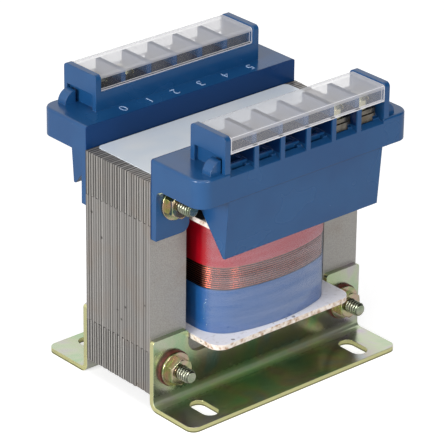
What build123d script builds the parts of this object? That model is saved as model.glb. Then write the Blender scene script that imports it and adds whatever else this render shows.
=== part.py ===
from build123d import *
import os

# Mains transformer on two folded feet, with a terminal block on each side of its top.
# Millimetres, +Z up, X along the terminal rows, origin on the ground at the middle of the feet.

# Core: E and I laminations, stacked along Y in packets that alternate end for end
core_width = 76.2
core_height = 63.5
limb_width = 12.7
window_width = 12.7
stack_depth = 27.2
packet_count = 10
stack_relief = 0.12
joint_gap = 0.06

# Through bolts, with their washers and nuts
bolt_d = 4.0
bolt_length = 40.0
bolt_inset = 6.8
bolt_clearance = 0.25
head_height = 2.8
hex_flats = 7.0
hex_bevel = 0.5
nut_height = 2.4
thread_gap = 0.02
tip_bevel = 0.5
sleeve_wall = 0.4
sleeve_gap = 0.05
flat_washer_d = 9.8
flat_washer_t = 0.8
fibre_washer_d = 10.4
fibre_washer_t = 0.9
spot_gap = 0.3

# Foot brackets: a folded L with two ears
plate_t = 1.5
foot_drop = 4.7
foot_reach = 17.9
foot_corner_r = 2.6
bend_r = 1.3
ear_height = 16.5
web_drop = 3.9
ear_width = 12.5
notch_r = 4.0
ear_corner_r = 1.0
slot_width = 5.0
slot_length = 9.6
slot_inset = 10.35
slot_reach = 10.7

# Coil former and flanges
former_wall = 1.0
former_gap = 0.15
flange_t = 1.5
lower_flange_gap = 0.8
upper_flange_gap = 0.1
flange_side_gap = 0.5
flange_reach = 12.8
flange_corner_r = 4.0

# Coil: a ring with bowed front and back
coil_side_gap = 3.6
coil_reach = 11.3
coil_bow_r = 52.0
coil_corner_r = 9.5
film_t = 0.15
tape_t = 0.3
secondary_build = 3.9
insulation_t = 0.4
layer_gap = 0.02
copper_low = 28.0
copper_band = 7.0
turn_count = 13
turn_depth = 0.16

# Terminal block moulding
slab_end_gap = 0.3
slab_reach = 20.0
slab_rise = 6.7
slab_t = 8.2
slab_corner_r = 4.2
slab_edge_r = 0.7
roof_t = 2.4
rim_t = 2.1
ledge_width = 6.1
end_plate_t = 1.8
end_plate_height = 10.4
end_plate_r = 1.3
cell_count = 6
empty_cell_count = 4
cell_end_gap = 0.1
partition_t = 1.5
sill_t = 1.8
sill_height = 5.3
partition_height = 9.0
floor_drop = 1.2
floor_slope = 0.8
seat_rise = 0.8
seat_depth = 8.9
pocket_depth = 4.0
window_length = 11.0
window_height = 4.5
window_back = 1.6
window_depth = 1.2
nose_r = 3.6
nose_width = 3.3
nose_gap = 0.4
leg_width = 11.6
leg_t = 2.15
leg_depth = 16.6
leg_corner_r = 2.6
leg_fillet_r = 2.4

# Hood under the block, over the leads
hood_nut_gap = 0.1
hood_drop = 17.4
hood_lean = 1.4
hood_step = 0.3
hood_wall = 1.5
hood_root = 3.6
hood_lip = 0.8

# Clear cover
cover_t = 1.0
cover_r = 0.8
cover_back = 0.6
cover_gap = 0.1

# Terminals in the wired cells of each block
screw_d = 3.5
screw_reach = 13.9
screw_length = 6.5
screw_head_d = 6.4
screw_head_h = 3.5
screw_slot_w = 1.0
screw_slot_d = 1.2
screw_bevel = 0.7
screw_turn = 25
clamp_t = 1.4
clamp_side_gap = 0.25
contact_inset = 0.3
contact_t = 0.9
tag_width = 4.6
tag_drop = 12.0
fit_gap = 0.15

# Leads from the coil to the tags
lead_d = 1.3
lead_sides = 8
lead_rise = 5.0
lead_lap = 3.0
lead_spread = 2.4
lead_sink = 2.0
lead_bend_r = 3.0
lead_hole_gap = 0.3

# Label on the core
label_end_gap = 3.6
label_side_gap = 0.4
label_t = 0.15
label_r = 1.6

# How near two corners of a sketch count as one
same_place = 0.01

# Places worked out from the sizes
centre_limb = core_width - 2 * (limb_width + window_width)
core_z = foot_drop
core_top = core_z + core_height
core_face = stack_depth / 2
window_low = core_z + limb_width
window_top = core_top - limb_width
bolt_x = core_width / 2 - bolt_inset
bolt_low_z = core_z + bolt_inset
bolt_top_z = core_top - bolt_inset
bolt_hole_d = bolt_d + 2 * bolt_clearance
core_hole_d = bolt_d + 2 * (bolt_clearance + sleeve_wall)
slot_pitch = core_width - 2 * slot_inset
notch_width = core_width - 2 * ear_width
slab_length = core_width - 2 * slab_end_gap
slab_top = core_top + slab_rise
slab_low = slab_top - slab_t
slab_face = core_face + slab_reach
plate_face = core_face + ledge_width
hood_width = 2 * (bolt_x - hex_flats / 2 - hood_nut_gap)
cell_span = hood_width - 2 * cell_end_gap
cell_pitch = cell_span / cell_count
end_plate_span = cell_span + 2 * end_plate_t
seat_top = slab_top + seat_rise
sill_top = slab_top + sill_height
partition_top = slab_top + partition_height
cell_back = plate_face + sill_t
seat_front = cell_back + seat_depth
tag_slot_t = contact_t + 2 * fit_gap
tag_face = seat_front + fit_gap
contact_top = seat_top + contact_t
clamp_top = contact_top + clamp_t
screw_y = core_face + screw_reach
clamp_size = cell_pitch - partition_t - 2 * clamp_side_gap
contact_width = clamp_size - 2 * contact_inset
tag_slot_w = tag_width + 2 * fit_gap
bay_width = hood_width - 2 * hood_wall
bay_face = slab_face - hood_step - hood_wall
bay_back = core_face + rim_t
bay_roof = slab_top - roof_t
flange_low = window_low + lower_flange_gap
flange_high = window_top - upper_flange_gap - flange_t
coil_low = flange_low + flange_t
coil_height = flange_high - coil_low
coil_top = coil_low + coil_height
coil_front = core_face + coil_reach
coil_width = core_width - 2 * limb_width - 2 * coil_side_gap
band_low = core_z + copper_low
band_top = band_low + copper_band
tube_width = centre_limb + 2 * (former_gap + former_wall)
tube_depth = stack_depth + 2 * (former_gap + former_wall)
secondary_inset = film_t + tape_t + 2 * layer_gap
insulation_inset = secondary_inset + secondary_build + layer_gap
primary_inset = insulation_inset + insulation_t + layer_gap
label_length = core_width - 2 * label_end_gap


def cell_x(index):
    """Middle of a terminal cell, counted from the left of the front block."""
    return (index - (cell_count - 1) / 2) * cell_pitch


def upright(sketch, back, depth):
    """Extrude a sketch drawn in X and Z towards the front, from y = back."""
    return extrude(Plane.XZ.offset(-back) * sketch, depth)


def sideways(sketch, left, width):
    """Extrude a sketch drawn in Y and Z along X, from x = left."""
    return extrude(Plane.YZ.offset(left) * sketch, width)


def turned(shape):
    """The same piece on the other side of the transformer."""
    return shape.rotate(Axis.Z, 180)


def bolt_places(z):
    return [(-bolt_x, z), (bolt_x, z)]


def lamination_holes(z):
    return Sketch() + [Pos(x, z) * Circle(core_hole_d / 2) for x, _ in bolt_places(z)]


def lamination_e(yoke_low, relief):
    """E outline with its yoke at the bottom or at the top."""
    height = core_height - limb_width - joint_gap
    width = core_width - 2 * relief
    middle = core_z + height / 2 if yoke_low else core_top - height / 2
    outer = core_z + relief if yoke_low else core_top - relief
    inner = core_z + height if yoke_low else core_top - height
    blank = Pos(0, (outer + inner) / 2) * Rectangle(width, abs(inner - outer))
    window_x = (centre_limb + window_width) / 2
    shift = limb_width if yoke_low else -limb_width
    for x in (-window_x, window_x):
        blank -= Pos(x, middle + shift) * Rectangle(window_width, height)
    return blank - lamination_holes(bolt_low_z if yoke_low else bolt_top_z)


def lamination_i(at_top, relief):
    """I outline that closes the open end of an E."""
    outer = core_top - relief if at_top else core_z + relief
    inner = core_top - limb_width if at_top else core_z + limb_width
    bar = Pos(0, (outer + inner) / 2) * Rectangle(core_width - 2 * relief, abs(outer - inner))
    return bar - lamination_holes(bolt_top_z if at_top else bolt_low_z)


def core():
    """All E packets and all I packets, as two groups of separate solids."""
    packet_t = stack_depth / packet_count
    e_packets = []
    i_packets = []
    for i in range(packet_count):
        even = i % 2 == 0
        relief = 0 if even else stack_relief
        back = core_face - i * packet_t
        e_packets.append(upright(lamination_e(even, relief), back, packet_t))
        i_packets.append(upright(lamination_i(even, relief), back, packet_t))
    return Compound(e_packets), Compound(i_packets)


def corner(sketch, a, b):
    """Vertices of a sketch that lie at one place."""
    return [v for v in sketch.vertices() if abs(v.X - a) + abs(v.Y - b) < same_place]


def foot_bracket():
    """Front bracket: folded L, notched under the coil flange, slotted in the foot."""
    tip = -core_face - foot_reach
    web_face = -core_face - plate_t
    ear_top = core_z + ear_height
    profile = make_face(Polyline(
        (-core_face, ear_top), (-core_face, 0), (tip, 0), (tip, plate_t),
        (web_face, plate_t), (web_face, ear_top), close=True
    ))
    profile = fillet(corner(profile, -core_face, 0), bend_r + plate_t)
    profile = fillet(corner(profile, web_face, plate_t), bend_r)
    bracket = sideways(profile, -core_width / 2, core_width)
    notch_low = window_low - web_drop
    notch = Pos(0, (notch_low + ear_top) / 2) * Rectangle(notch_width, ear_top - notch_low)
    notch = fillet(notch.vertices().group_by(Axis.Y)[0], notch_r)
    bracket -= upright(notch, -core_face, plate_t)
    holes = [Pos(x, z) * Circle(bolt_hole_d / 2) for x, z in bolt_places(bolt_low_z)]
    bracket -= [upright(hole, -core_face, plate_t) for hole in holes]
    for x in (-slot_pitch / 2, slot_pitch / 2):
        slot = Pos(x, -core_face - slot_reach) * SlotOverall(slot_length, slot_width, rotation=90)
        bracket -= extrude(slot, plate_t)
    ear_corners = bracket.edges().filter_by(Axis.Y).group_by(Axis.Z)[-1]
    bracket = fillet(ear_corners, ear_corner_r)
    foot_corners = bracket.edges().filter_by(Axis.Z).group_by(Axis.Y)[0]
    return fillet(foot_corners, foot_corner_r)


def hexagon(height):
    """Hexagonal prism along +Z with turned corners at its far end."""
    prism = extrude(RegularPolygon(hex_flats / 2, 6, major_radius=False, rotation=30), height)
    blank = Cylinder(hex_flats / 3 ** 0.5, height, align=(Align.CENTER, Align.CENTER, Align.MIN))
    return prism & chamfer(blank.edges().group_by(Axis.Z)[-1], hex_bevel / 2, hex_bevel)


def ring(outer_d, inner_d, height):
    return extrude(Circle(outer_d / 2) - Circle(inner_d / 2), height)


def on_bolt(shape, x, z, back):
    """Stand a piece that was drawn along +Z on a bolt axis, so that it runs to the front."""
    return Pos(x, back, z) * (Rot(90, 0, 0) * shape)


def bolt():
    """Hexagon bolt along +Z, with the underside of its head at zero."""
    shank = Cylinder(bolt_d / 2, bolt_length, align=(Align.CENTER, Align.CENTER, Align.MIN))
    shank = chamfer(shank.edges().group_by(Axis.Z)[-1], tip_bevel)
    return shank + Rot(180, 0, 0) * hexagon(head_height)


def nut():
    bore = Cylinder(bolt_d / 2 + thread_gap, nut_height, align=(Align.CENTER, Align.CENTER, Align.MIN))
    return hexagon(nut_height) - bore


def fasteners():
    """Bolts, nuts and washers of the four through bolts, each kind as one group."""
    groups = {name: [] for name in ("core_bolts", "hex_nuts", "flat_washers", "fibre_washers",
                                    "bolt_sleeves")}
    for z, seat, fibre in ((bolt_low_z, plate_t, True), (bolt_top_z, leg_t, False)):
        for x, _ in bolt_places(z):
            back = core_face + seat
            front = -back
            if fibre:
                fibre_ring = ring(fibre_washer_d, bolt_hole_d, fibre_washer_t)
                back += fibre_washer_t
                groups["fibre_washers"].append(on_bolt(fibre_ring, x, z, back))
                groups["fibre_washers"].append(on_bolt(fibre_ring, x, z, front))
                front -= fibre_washer_t
            flat_ring = ring(flat_washer_d, bolt_hole_d, flat_washer_t)
            back += flat_washer_t
            groups["flat_washers"].append(on_bolt(flat_ring, x, z, back))
            groups["core_bolts"].append(on_bolt(bolt(), x, z, back))
            groups["flat_washers"].append(on_bolt(flat_ring, x, z, front))
            front -= flat_washer_t
            groups["hex_nuts"].append(on_bolt(nut(), x, z, front))
            sleeve = ring(core_hole_d - 2 * sleeve_gap, core_hole_d - 2 * sleeve_wall, stack_depth)
            groups["bolt_sleeves"].append(on_bolt(sleeve, x, z, core_face))
    return {name: Compound(solids) for name, solids in groups.items()}


def coil_outline(inset):
    """Plan of the coil: a rectangle with bowed front and back and large corners."""
    plan = Rectangle(coil_width - 2 * inset, 2 * (coil_front - inset))
    bow = Circle(coil_bow_r - inset)
    plan &= Pos(0, coil_bow_r - coil_front) * bow
    plan &= Pos(0, coil_front - coil_bow_r) * bow
    return fillet(plan.vertices(), coil_corner_r - inset)


def coil_ring(outer_inset, inner, low, height):
    """Closed band of the coil between an outer inset and an inner sketch."""
    return Pos(0, 0, low) * extrude(coil_outline(outer_inset) - inner, height)


def tube_outline(gap):
    return Rectangle(tube_width + 2 * gap, tube_depth + 2 * gap)


def former_tube():
    bore = Rectangle(centre_limb + 2 * former_gap, stack_depth + 2 * former_gap)
    return Pos(0, 0, window_low) * extrude(tube_outline(0) - bore, window_top - window_low)


def flange(z, lead_holes):
    """Pressboard flange round the former tube."""
    width = core_width - 2 * limb_width - 2 * flange_side_gap
    plan = Rectangle(width, 2 * (core_face + flange_reach))
    plan = fillet(plan.vertices(), flange_corner_r) - tube_outline(layer_gap)
    for x, y in lead_holes:
        plan -= Pos(x, y) * Circle(lead_d / 2 + lead_hole_gap)
    return Pos(0, 0, z) * extrude(plan, flange_t)


def copper_turns():
    """Exposed turns: one ridge for each, swept round the coil."""
    pitch = copper_band / turn_count
    turns = Part()
    crest = coil_outline(secondary_inset)
    valley = coil_outline(secondary_inset + turn_depth)
    for i in range(turn_count):
        low = band_low + i * pitch
        sections = [Pos(0, 0, low) * valley, Pos(0, 0, low + pitch / 2) * crest]
        turns += loft(sections)
        sections = [Pos(0, 0, low + pitch / 2) * crest, Pos(0, 0, low + pitch) * valley]
        turns += loft(sections)
    return turns


def windings():
    """Primary, insulation and secondary, from the former outwards."""
    inner = tube_outline(layer_gap)
    primary = coil_ring(primary_inset, inner, coil_low, coil_height)
    insulation = coil_ring(insulation_inset, coil_outline(primary_inset - layer_gap),
                           coil_low, coil_height)
    hollow = coil_outline(insulation_inset - layer_gap)
    secondary = coil_ring(secondary_inset, hollow, coil_low, band_low - coil_low)
    secondary += copper_turns() - Pos(0, 0, coil_low) * extrude(hollow, coil_height)
    secondary += coil_ring(secondary_inset, hollow, band_top, coil_top - band_top)
    return primary, insulation, secondary


def wrappings():
    """Blue tape below, red tape above, and the clear film over both."""
    inner = coil_outline(secondary_inset - layer_gap)
    blue = coil_ring(film_t + layer_gap, inner, coil_low, band_low - coil_low)
    red = coil_ring(film_t + layer_gap, inner, band_top, coil_top - band_top)
    film = coil_ring(0, coil_outline(film_t), coil_low, coil_height)
    return red, blue, film


def block_leg(side):
    """Flat leg at one end of the block, filleted under the slab, with a spot face for its washer."""
    low = core_top - leg_depth
    face = -core_face - leg_t
    root = face - 2 * leg_fillet_r
    profile = make_face(Polyline(
        (-core_face, low), (-core_face, slab_low + rim_t), (root, slab_low + rim_t),
        (root, slab_low), (face, slab_low), (face, low), close=True
    ))
    profile = fillet(corner(profile, face, slab_low), leg_fillet_r)
    middle = side * (slab_length - leg_width) / 2
    leg = sideways(profile, middle - leg_width / 2, leg_width)
    foot = leg.edges().filter_by(Axis.Y).group_by(Axis.Z)[0].sort_by(Axis.X)
    leg = fillet(foot[-1 if side < 0 else 0], leg_corner_r)
    bolt_axis = Pos(side * bolt_x, bolt_top_z)
    leg -= upright(bolt_axis * Circle(bolt_hole_d / 2), -core_face, leg_t)
    return leg - upright(bolt_axis * Circle(flat_washer_d / 2 + spot_gap), face, leg_fillet_r)


def block_slab():
    """Slab with large outer corners and a rounded top edge."""
    plan = Pos(0, -core_face - slab_reach / 2) * Rectangle(slab_length, slab_reach)
    plan = fillet(plan.vertices().group_by(Axis.Y)[0], slab_corner_r)
    slab = Pos(0, 0, slab_low) * extrude(plan, slab_t)
    rim = slab.edges().group_by(Axis.Z)[-1].sort_by(Axis.Y)[:-1]
    return fillet(rim, slab_edge_r)


def block_hood():
    """Wedge under the slab: leaning front and sides with sloping lower edges."""
    face = -slab_face + hood_step
    low = slab_low - hood_drop
    wedge = make_face(Polyline(
        (-core_face - hood_root, slab_low), (face, slab_low), (face + hood_lean, low),
        (face + hood_lean + hood_lip, low), close=True
    ))
    return sideways(wedge, -hood_width / 2, hood_width)


def lead_bay():
    """Space for the leads, up through the open underside of hood and slab."""
    lean = hood_lean * (1 + hood_lip / hood_drop)
    low = slab_low - hood_drop - hood_lip
    bay = make_face(Polyline(
        (-bay_back, bay_roof), (-bay_face, bay_roof), (-bay_face, slab_low),
        (-bay_face + lean, low), (-bay_back, low), close=True
    ))
    return sideways(bay, -bay_width / 2, bay_width)


def block_cells():
    """End plates, inner sill and the partitions, stepped back for the cover's skirt."""
    depth = slab_face - plate_face
    middle = -plate_face - depth / 2
    plate = Pos(middle, slab_top + end_plate_height / 2) * Rectangle(depth, end_plate_height)
    plate = fillet(plate.vertices().group_by(Axis.Y)[-1], end_plate_r)
    sill_middle = Pos(-plate_face - sill_t / 2, slab_top + sill_height / 2)
    sill = sill_middle * Rectangle(sill_t, sill_height)
    cells = sideways(sill, -cell_span / 2, cell_span)
    for x in (-end_plate_span / 2, end_plate_span / 2 - end_plate_t):
        cells += sideways(plate, x, end_plate_t)
    lower = make_face(Polyline(
        (-plate_face, slab_top), (-slab_face, slab_top - floor_drop), (-slab_face, sill_top),
        (-plate_face, sill_top), close=True
    ))
    upper_back = plate_face + cover_back + cover_t + cover_gap
    upper_depth = slab_face - cover_t - cover_gap - upper_back
    upper_middle = Pos(-upper_back - upper_depth / 2, slab_top + partition_height / 2)
    upper = upper_middle * Rectangle(upper_depth, partition_height)
    for i in range(cell_count - 1):
        x = cell_x(i) + cell_pitch / 2
        cells += sideways(lower + upper, x - partition_t / 2, partition_t)
    seat = Box(cell_span, seat_depth, seat_rise, align=(Align.CENTER, Align.MAX, Align.MIN))
    return cells + Pos(0, -cell_back, slab_top) * seat


def front_ramp():
    """Sloping floor along the front of all cells, where the wires come in."""
    ramp_back = -seat_front - tag_slot_t
    ramp = make_face(Polyline(
        (ramp_back, slab_top), (ramp_back, slab_top - floor_drop + floor_slope),
        (-slab_face, slab_top - floor_drop), (-slab_face, slab_top), close=True
    ))
    return sideways(ramp, -cell_span / 2, cell_span)


def cell_cuts():
    """What each cell loses: the slot for the tag and the pocket for the screw's tip."""
    depth = seat_top - bay_roof
    slot = Box(tag_slot_w, tag_slot_t, depth, align=(Align.CENTER, Align.MAX, Align.MIN))
    pocket = Box(tag_slot_w, pocket_depth, depth, align=(Align.CENTER, Align.CENTER, Align.MIN))
    cuts = []
    for i in range(cell_count):
        cuts.append(Pos(cell_x(i), -seat_front, bay_roof) * slot)
        cuts.append(Pos(cell_x(i), -screw_y, bay_roof) * pocket)
    return cuts


def end_windows():
    """Blind windows low in the outer faces of both end plates."""
    window = Box(window_depth, window_length, window_height, align=(Align.MIN, Align.MAX, Align.MIN))
    y = -plate_face - window_back
    return [Pos(x, y, slab_top) * window
            for x in (-end_plate_span / 2, end_plate_span / 2 - window_depth)]


def end_noses():
    """Round noses that stand on the slab beside the windows."""
    noses = []
    y = -plate_face - window_back - window_length + nose_gap
    quarter = Circle(nose_r) & Rectangle(nose_r, nose_r, align=(Align.MIN, Align.MIN))
    for side in (-1, 1):
        sketch = quarter if side > 0 else mirror(quarter, Plane.YZ)
        place = Pos(side * end_plate_span / 2, slab_top) * sketch
        noses.append(upright(place, y + nose_width, nose_width))
    return noses


def terminal_block():
    """Front terminal block, one moulding."""
    block = block_slab() + block_hood() - lead_bay() - front_ramp()
    block += block_leg(-1) + block_leg(1) + block_cells()
    block -= cell_cuts()
    block -= end_windows()
    return block + end_noses()


def clear_cover():
    """Clear channel that stands on the sill and the partitions, between the end plates."""
    back = plate_face + cover_back
    depth = slab_face - back
    height = partition_top + cover_t - sill_top
    middle = Pos(-back - depth / 2, sill_top + height / 2)
    outer = middle * Rectangle(depth, height)
    outer = fillet(outer.vertices().group_by(Axis.Y)[-1], cover_r)
    inner = middle * Pos(0, -cover_t) * Rectangle(depth - 2 * cover_t, height)
    length = cell_span - 2 * cover_gap
    return sideways(outer - inner, -length / 2, length)


def contact_plate(x):
    """Plate on the seat, with a solder tag bent down through the slot in front of it."""
    front = tag_face + contact_t
    back = screw_y - clamp_size / 2
    flat = Box(contact_width, front - back, contact_t, align=(Align.CENTER, Align.MIN, Align.MIN))
    tag = Box(tag_width, contact_t, tag_drop, align=(Align.CENTER, Align.MIN, Align.MAX))
    plate = Pos(x, -front, seat_top) * flat + Pos(x, -front, contact_top) * tag
    hole = Cylinder(screw_d / 2 + thread_gap, contact_t, align=(Align.CENTER, Align.CENTER, Align.MIN))
    return plate - Pos(x, -screw_y, seat_top) * hole


def clamp_washer(x):
    """Square washer under the screw's head."""
    plan = Rectangle(clamp_size, clamp_size) - Circle(screw_d / 2 + fit_gap)
    return Pos(x, -screw_y, contact_top) * extrude(plan, clamp_t)


def terminal_screw(x):
    """Slotted cheese-head screw."""
    head = Cylinder(screw_head_d / 2, screw_head_h, align=(Align.CENTER, Align.CENTER, Align.MIN))
    head = chamfer(head.edges().group_by(Axis.Z)[-1], screw_bevel)
    slot = Box(screw_slot_w, screw_head_d, screw_slot_d, align=(Align.CENTER, Align.CENTER, Align.MAX))
    head -= Pos(0, 0, screw_head_h) * Rot(0, 0, screw_turn) * slot
    shank = Cylinder(screw_d / 2, screw_length, align=(Align.CENTER, Align.CENTER, Align.MAX))
    shank = chamfer(shank.edges().group_by(Axis.Z)[0], tip_bevel)
    return Pos(x, -screw_y, clamp_top) * (head + shank)


def both_blocks(piece):
    """One piece in every wired cell of the front block, and again in the rear block."""
    front = [piece(cell_x(i)) for i in range(empty_cell_count, cell_count)]
    return Compound(front + [turned(shape) for shape in front])


def lead_starts(inset):
    """Where the two front leads leave the top of a winding, side by side along its bow."""
    bow_r = coil_bow_r - inset - lead_sink
    places = [cell_x(empty_cell_count) + side * lead_spread for side in (-1, 1)]
    return [(x, coil_bow_r - coil_front - (bow_r ** 2 - x ** 2) ** 0.5) for x in places]


def leads(inset):
    """Sleeved leads from the top of a winding, up inside the hood, to the tags of its block."""
    tag_y = -tag_face + lead_d / 2
    tag_low = contact_top - tag_drop
    wires = []
    for (x, y), cell in zip(lead_starts(inset), range(empty_cell_count, cell_count)):
        route = FilletPolyline(
            (x, y, flange_high), (x, y, flange_high + lead_rise),
            (cell_x(cell), tag_y, tag_low), (cell_x(cell), tag_y, tag_low + lead_lap),
            radius=lead_bend_r
        )
        section = Plane(route @ 0, z_dir=route % 0) * RegularPolygon(lead_d / 2, lead_sides)
        wires.append(sweep(section, path=route))
    return Compound(wires)


def rating_label():
    """Bare label on the core between the blocks."""
    plan = RectangleRounded(label_length, stack_depth - 2 * label_side_gap, label_r)
    return Pos(0, 0, core_top) * extrude(plan, label_t)


def build():
    """Every piece of the transformer, by name."""
    e_packets, i_packets = core()
    primary, insulation, secondary = windings()
    red, blue, film = wrappings()
    block = terminal_block()
    cover = clear_cover()
    bracket = foot_bracket()
    secondary_starts = lead_starts(secondary_inset)
    primary_starts = [(-x, -y) for x, y in lead_starts(primary_inset)]
    pieces = {
        "e_laminations": e_packets,
        "i_laminations": i_packets,
        "former_tube": former_tube(),
        "lower_flange": flange(flange_low, []),
        "upper_flange": flange(flange_high, secondary_starts + primary_starts),
        "primary_winding": primary,
        "winding_insulation": insulation,
        "secondary_winding": secondary,
        "red_tape": red,
        "blue_tape": blue,
        "clear_film": film,
        "front_bracket": bracket,
        "rear_bracket": turned(bracket),
        "front_terminal_block": block,
        "rear_terminal_block": turned(block),
        "front_cover": cover,
        "rear_cover": turned(cover),
        "contact_plates": both_blocks(contact_plate),
        "clamp_washers": both_blocks(clamp_washer),
        "terminal_screws": both_blocks(terminal_screw),
        "secondary_leads": leads(secondary_inset),
        "primary_leads": turned(leads(primary_inset)),
        "rating_label": rating_label(),
    }
    pieces.update(fasteners())
    return pieces


os.makedirs("parts", exist_ok=True)
for name, shape in build().items():
    export_step(shape, f"parts/{name}.step")
    print(name, round(shape.volume, 1))
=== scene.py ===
import bpy
import math
import random
from mathutils import Matrix, Vector


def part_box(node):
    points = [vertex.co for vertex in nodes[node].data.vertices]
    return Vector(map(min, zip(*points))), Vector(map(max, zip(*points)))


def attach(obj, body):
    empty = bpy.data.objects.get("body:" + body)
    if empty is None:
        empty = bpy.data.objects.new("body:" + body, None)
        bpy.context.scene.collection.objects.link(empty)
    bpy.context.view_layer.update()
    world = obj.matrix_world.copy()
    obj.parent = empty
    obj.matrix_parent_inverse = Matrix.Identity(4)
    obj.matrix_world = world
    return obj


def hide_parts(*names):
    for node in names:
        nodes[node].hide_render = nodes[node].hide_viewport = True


# Mains transformer on two folded feet: camera, studio, finishes and the fine pieces.
# Lengths are in millimetres, as on the bench, and turn to metres where Blender takes them.
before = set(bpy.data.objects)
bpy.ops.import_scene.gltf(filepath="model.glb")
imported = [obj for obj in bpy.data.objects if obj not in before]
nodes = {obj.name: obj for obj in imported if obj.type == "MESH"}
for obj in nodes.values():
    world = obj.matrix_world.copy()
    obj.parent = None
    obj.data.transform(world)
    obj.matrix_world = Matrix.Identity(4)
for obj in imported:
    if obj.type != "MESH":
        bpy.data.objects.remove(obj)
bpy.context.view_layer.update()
print("frame loaded,", len(nodes), "nodes")


def boxOf(*names):
    lows, highs = zip(*(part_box(name) for name in names))
    low = [1000 * min(v[i] for v in lows) for i in range(3)]
    high = [1000 * max(v[i] for v in highs) for i in range(3)]
    return low, high


def toLinear(hexText):
    channels = [int(hexText[i:i + 2], 16) / 255 for i in (1, 3, 5)]
    return [c / 12.92 if c <= 0.04045 else ((c + 0.055) / 1.055) ** 2.4 for c in channels] + [1.0]


# Adds one node: inputs take a number, a colour, a socket or another node, stops fill a colour ramp
def addNode(tree, kind, inputs=None, stops=(), **settings):
    node = tree.nodes.new("ShaderNode" + kind)
    for key, value in settings.items():
        setattr(node, key, value)
    for key, value in (inputs or {}).items():
        if isinstance(value, bpy.types.Node):
            value = value.outputs[0]
        if isinstance(value, bpy.types.NodeSocket):
            tree.links.new(value, node.inputs[key])
        else:
            node.inputs[key].default_value = value
    if stops:
        marks = node.color_ramp.elements
        while len(marks) < len(stops):
            marks.new(1.0)
        for mark, (place, colour) in zip(marks, stops):
            mark.position = place
            mark.color = toLinear(colour) if isinstance(colour, str) else (colour, colour, colour, 1)
    return node


def newMaterial(name, look):
    mat = bpy.data.materials.new(name)
    mat.use_nodes = True
    shader = mat.node_tree.nodes["Principled BSDF"]
    shader.inputs["Base Color"].default_value = toLinear(look["colour"])
    shader.inputs["Roughness"].default_value = look["roughness"]
    shader.inputs["Metallic"].default_value = look.get("metallic", 0.0)
    if "ior" in look:
        shader.inputs["IOR"].default_value = look["ior"]
    return mat, mat.node_tree, shader


# Nearly all of a noise texture lies between these values
noiseLow, noiseHigh = 0.3, 0.7


def paint(mat, *names):
    for name in names:
        slots = nodes[name].data.materials
        slots.clear()
        slots.append(mat)


def addPiece(name, points, faces, mat, smooth=False):
    mesh = bpy.data.meshes.new(name)
    mesh.from_pydata([[v / 1000 for v in point] for point in points], [], faces)
    mesh.materials.append(mat)
    if smooth:
        mesh.shade_smooth()
    piece = bpy.data.objects.new(name, mesh)
    bpy.context.scene.collection.objects.link(piece)
    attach(piece, "root")
    return piece


# Long lens, to the left of the front block and a little above it
camera = {"azimuth": -41.31, "elevation": 25.49, "roll": 0.72, "distance": 849.49,
          "target": (0, 0, 44.7), "slide": (-0.57, -3.96), "lens": 248.75}


def addCamera():
    azimuth, elevation = math.radians(camera["azimuth"]), math.radians(camera["elevation"])
    back = Vector((math.sin(azimuth) * math.cos(elevation), -math.cos(azimuth) * math.cos(elevation),
                   math.sin(elevation)))
    right = Vector((0, 0, 1)).cross(back).normalized()
    up = back.cross(right)
    place = Vector(camera["target"]) + back * camera["distance"]
    place += right * camera["slide"][0] + up * camera["slide"][1]
    roll = Matrix.Rotation(math.radians(camera["roll"]), 3, "Z")
    turn = Matrix((right, up, back)).transposed() @ roll
    data = bpy.data.cameras.new("camera")
    data.lens = camera["lens"]
    data.sensor_width = 36
    eye = bpy.data.objects.new("camera", data)
    eye.matrix_world = Matrix.Translation(place / 1000) @ turn.to_4x4()
    bpy.context.scene.collection.objects.link(eye)
    bpy.context.scene.camera = eye


addCamera()


# White tent with three low soft boxes, one overhead, and a black card that metal mirrors
studio = {"tent": "#FFFFFF", "tentLight": 0.25, "cardAt": (0.62, -0.66, 0.42), "cardEdge": (0.62, 0.86),
          "cardDark": 0.05,
          "lamps": {"left": {"round": 88, "height": 16, "away": 800, "size": 300, "watts": 4.7},
                    "corner": {"round": 57, "height": 16, "away": 800, "size": 250, "watts": 0.9},
                    "front": {"round": 3, "height": 17, "away": 800, "size": 260, "watts": 2.3},
                    "top": {"round": 0, "height": 78, "away": 800, "size": 600, "watts": 1.7}}}


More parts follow.
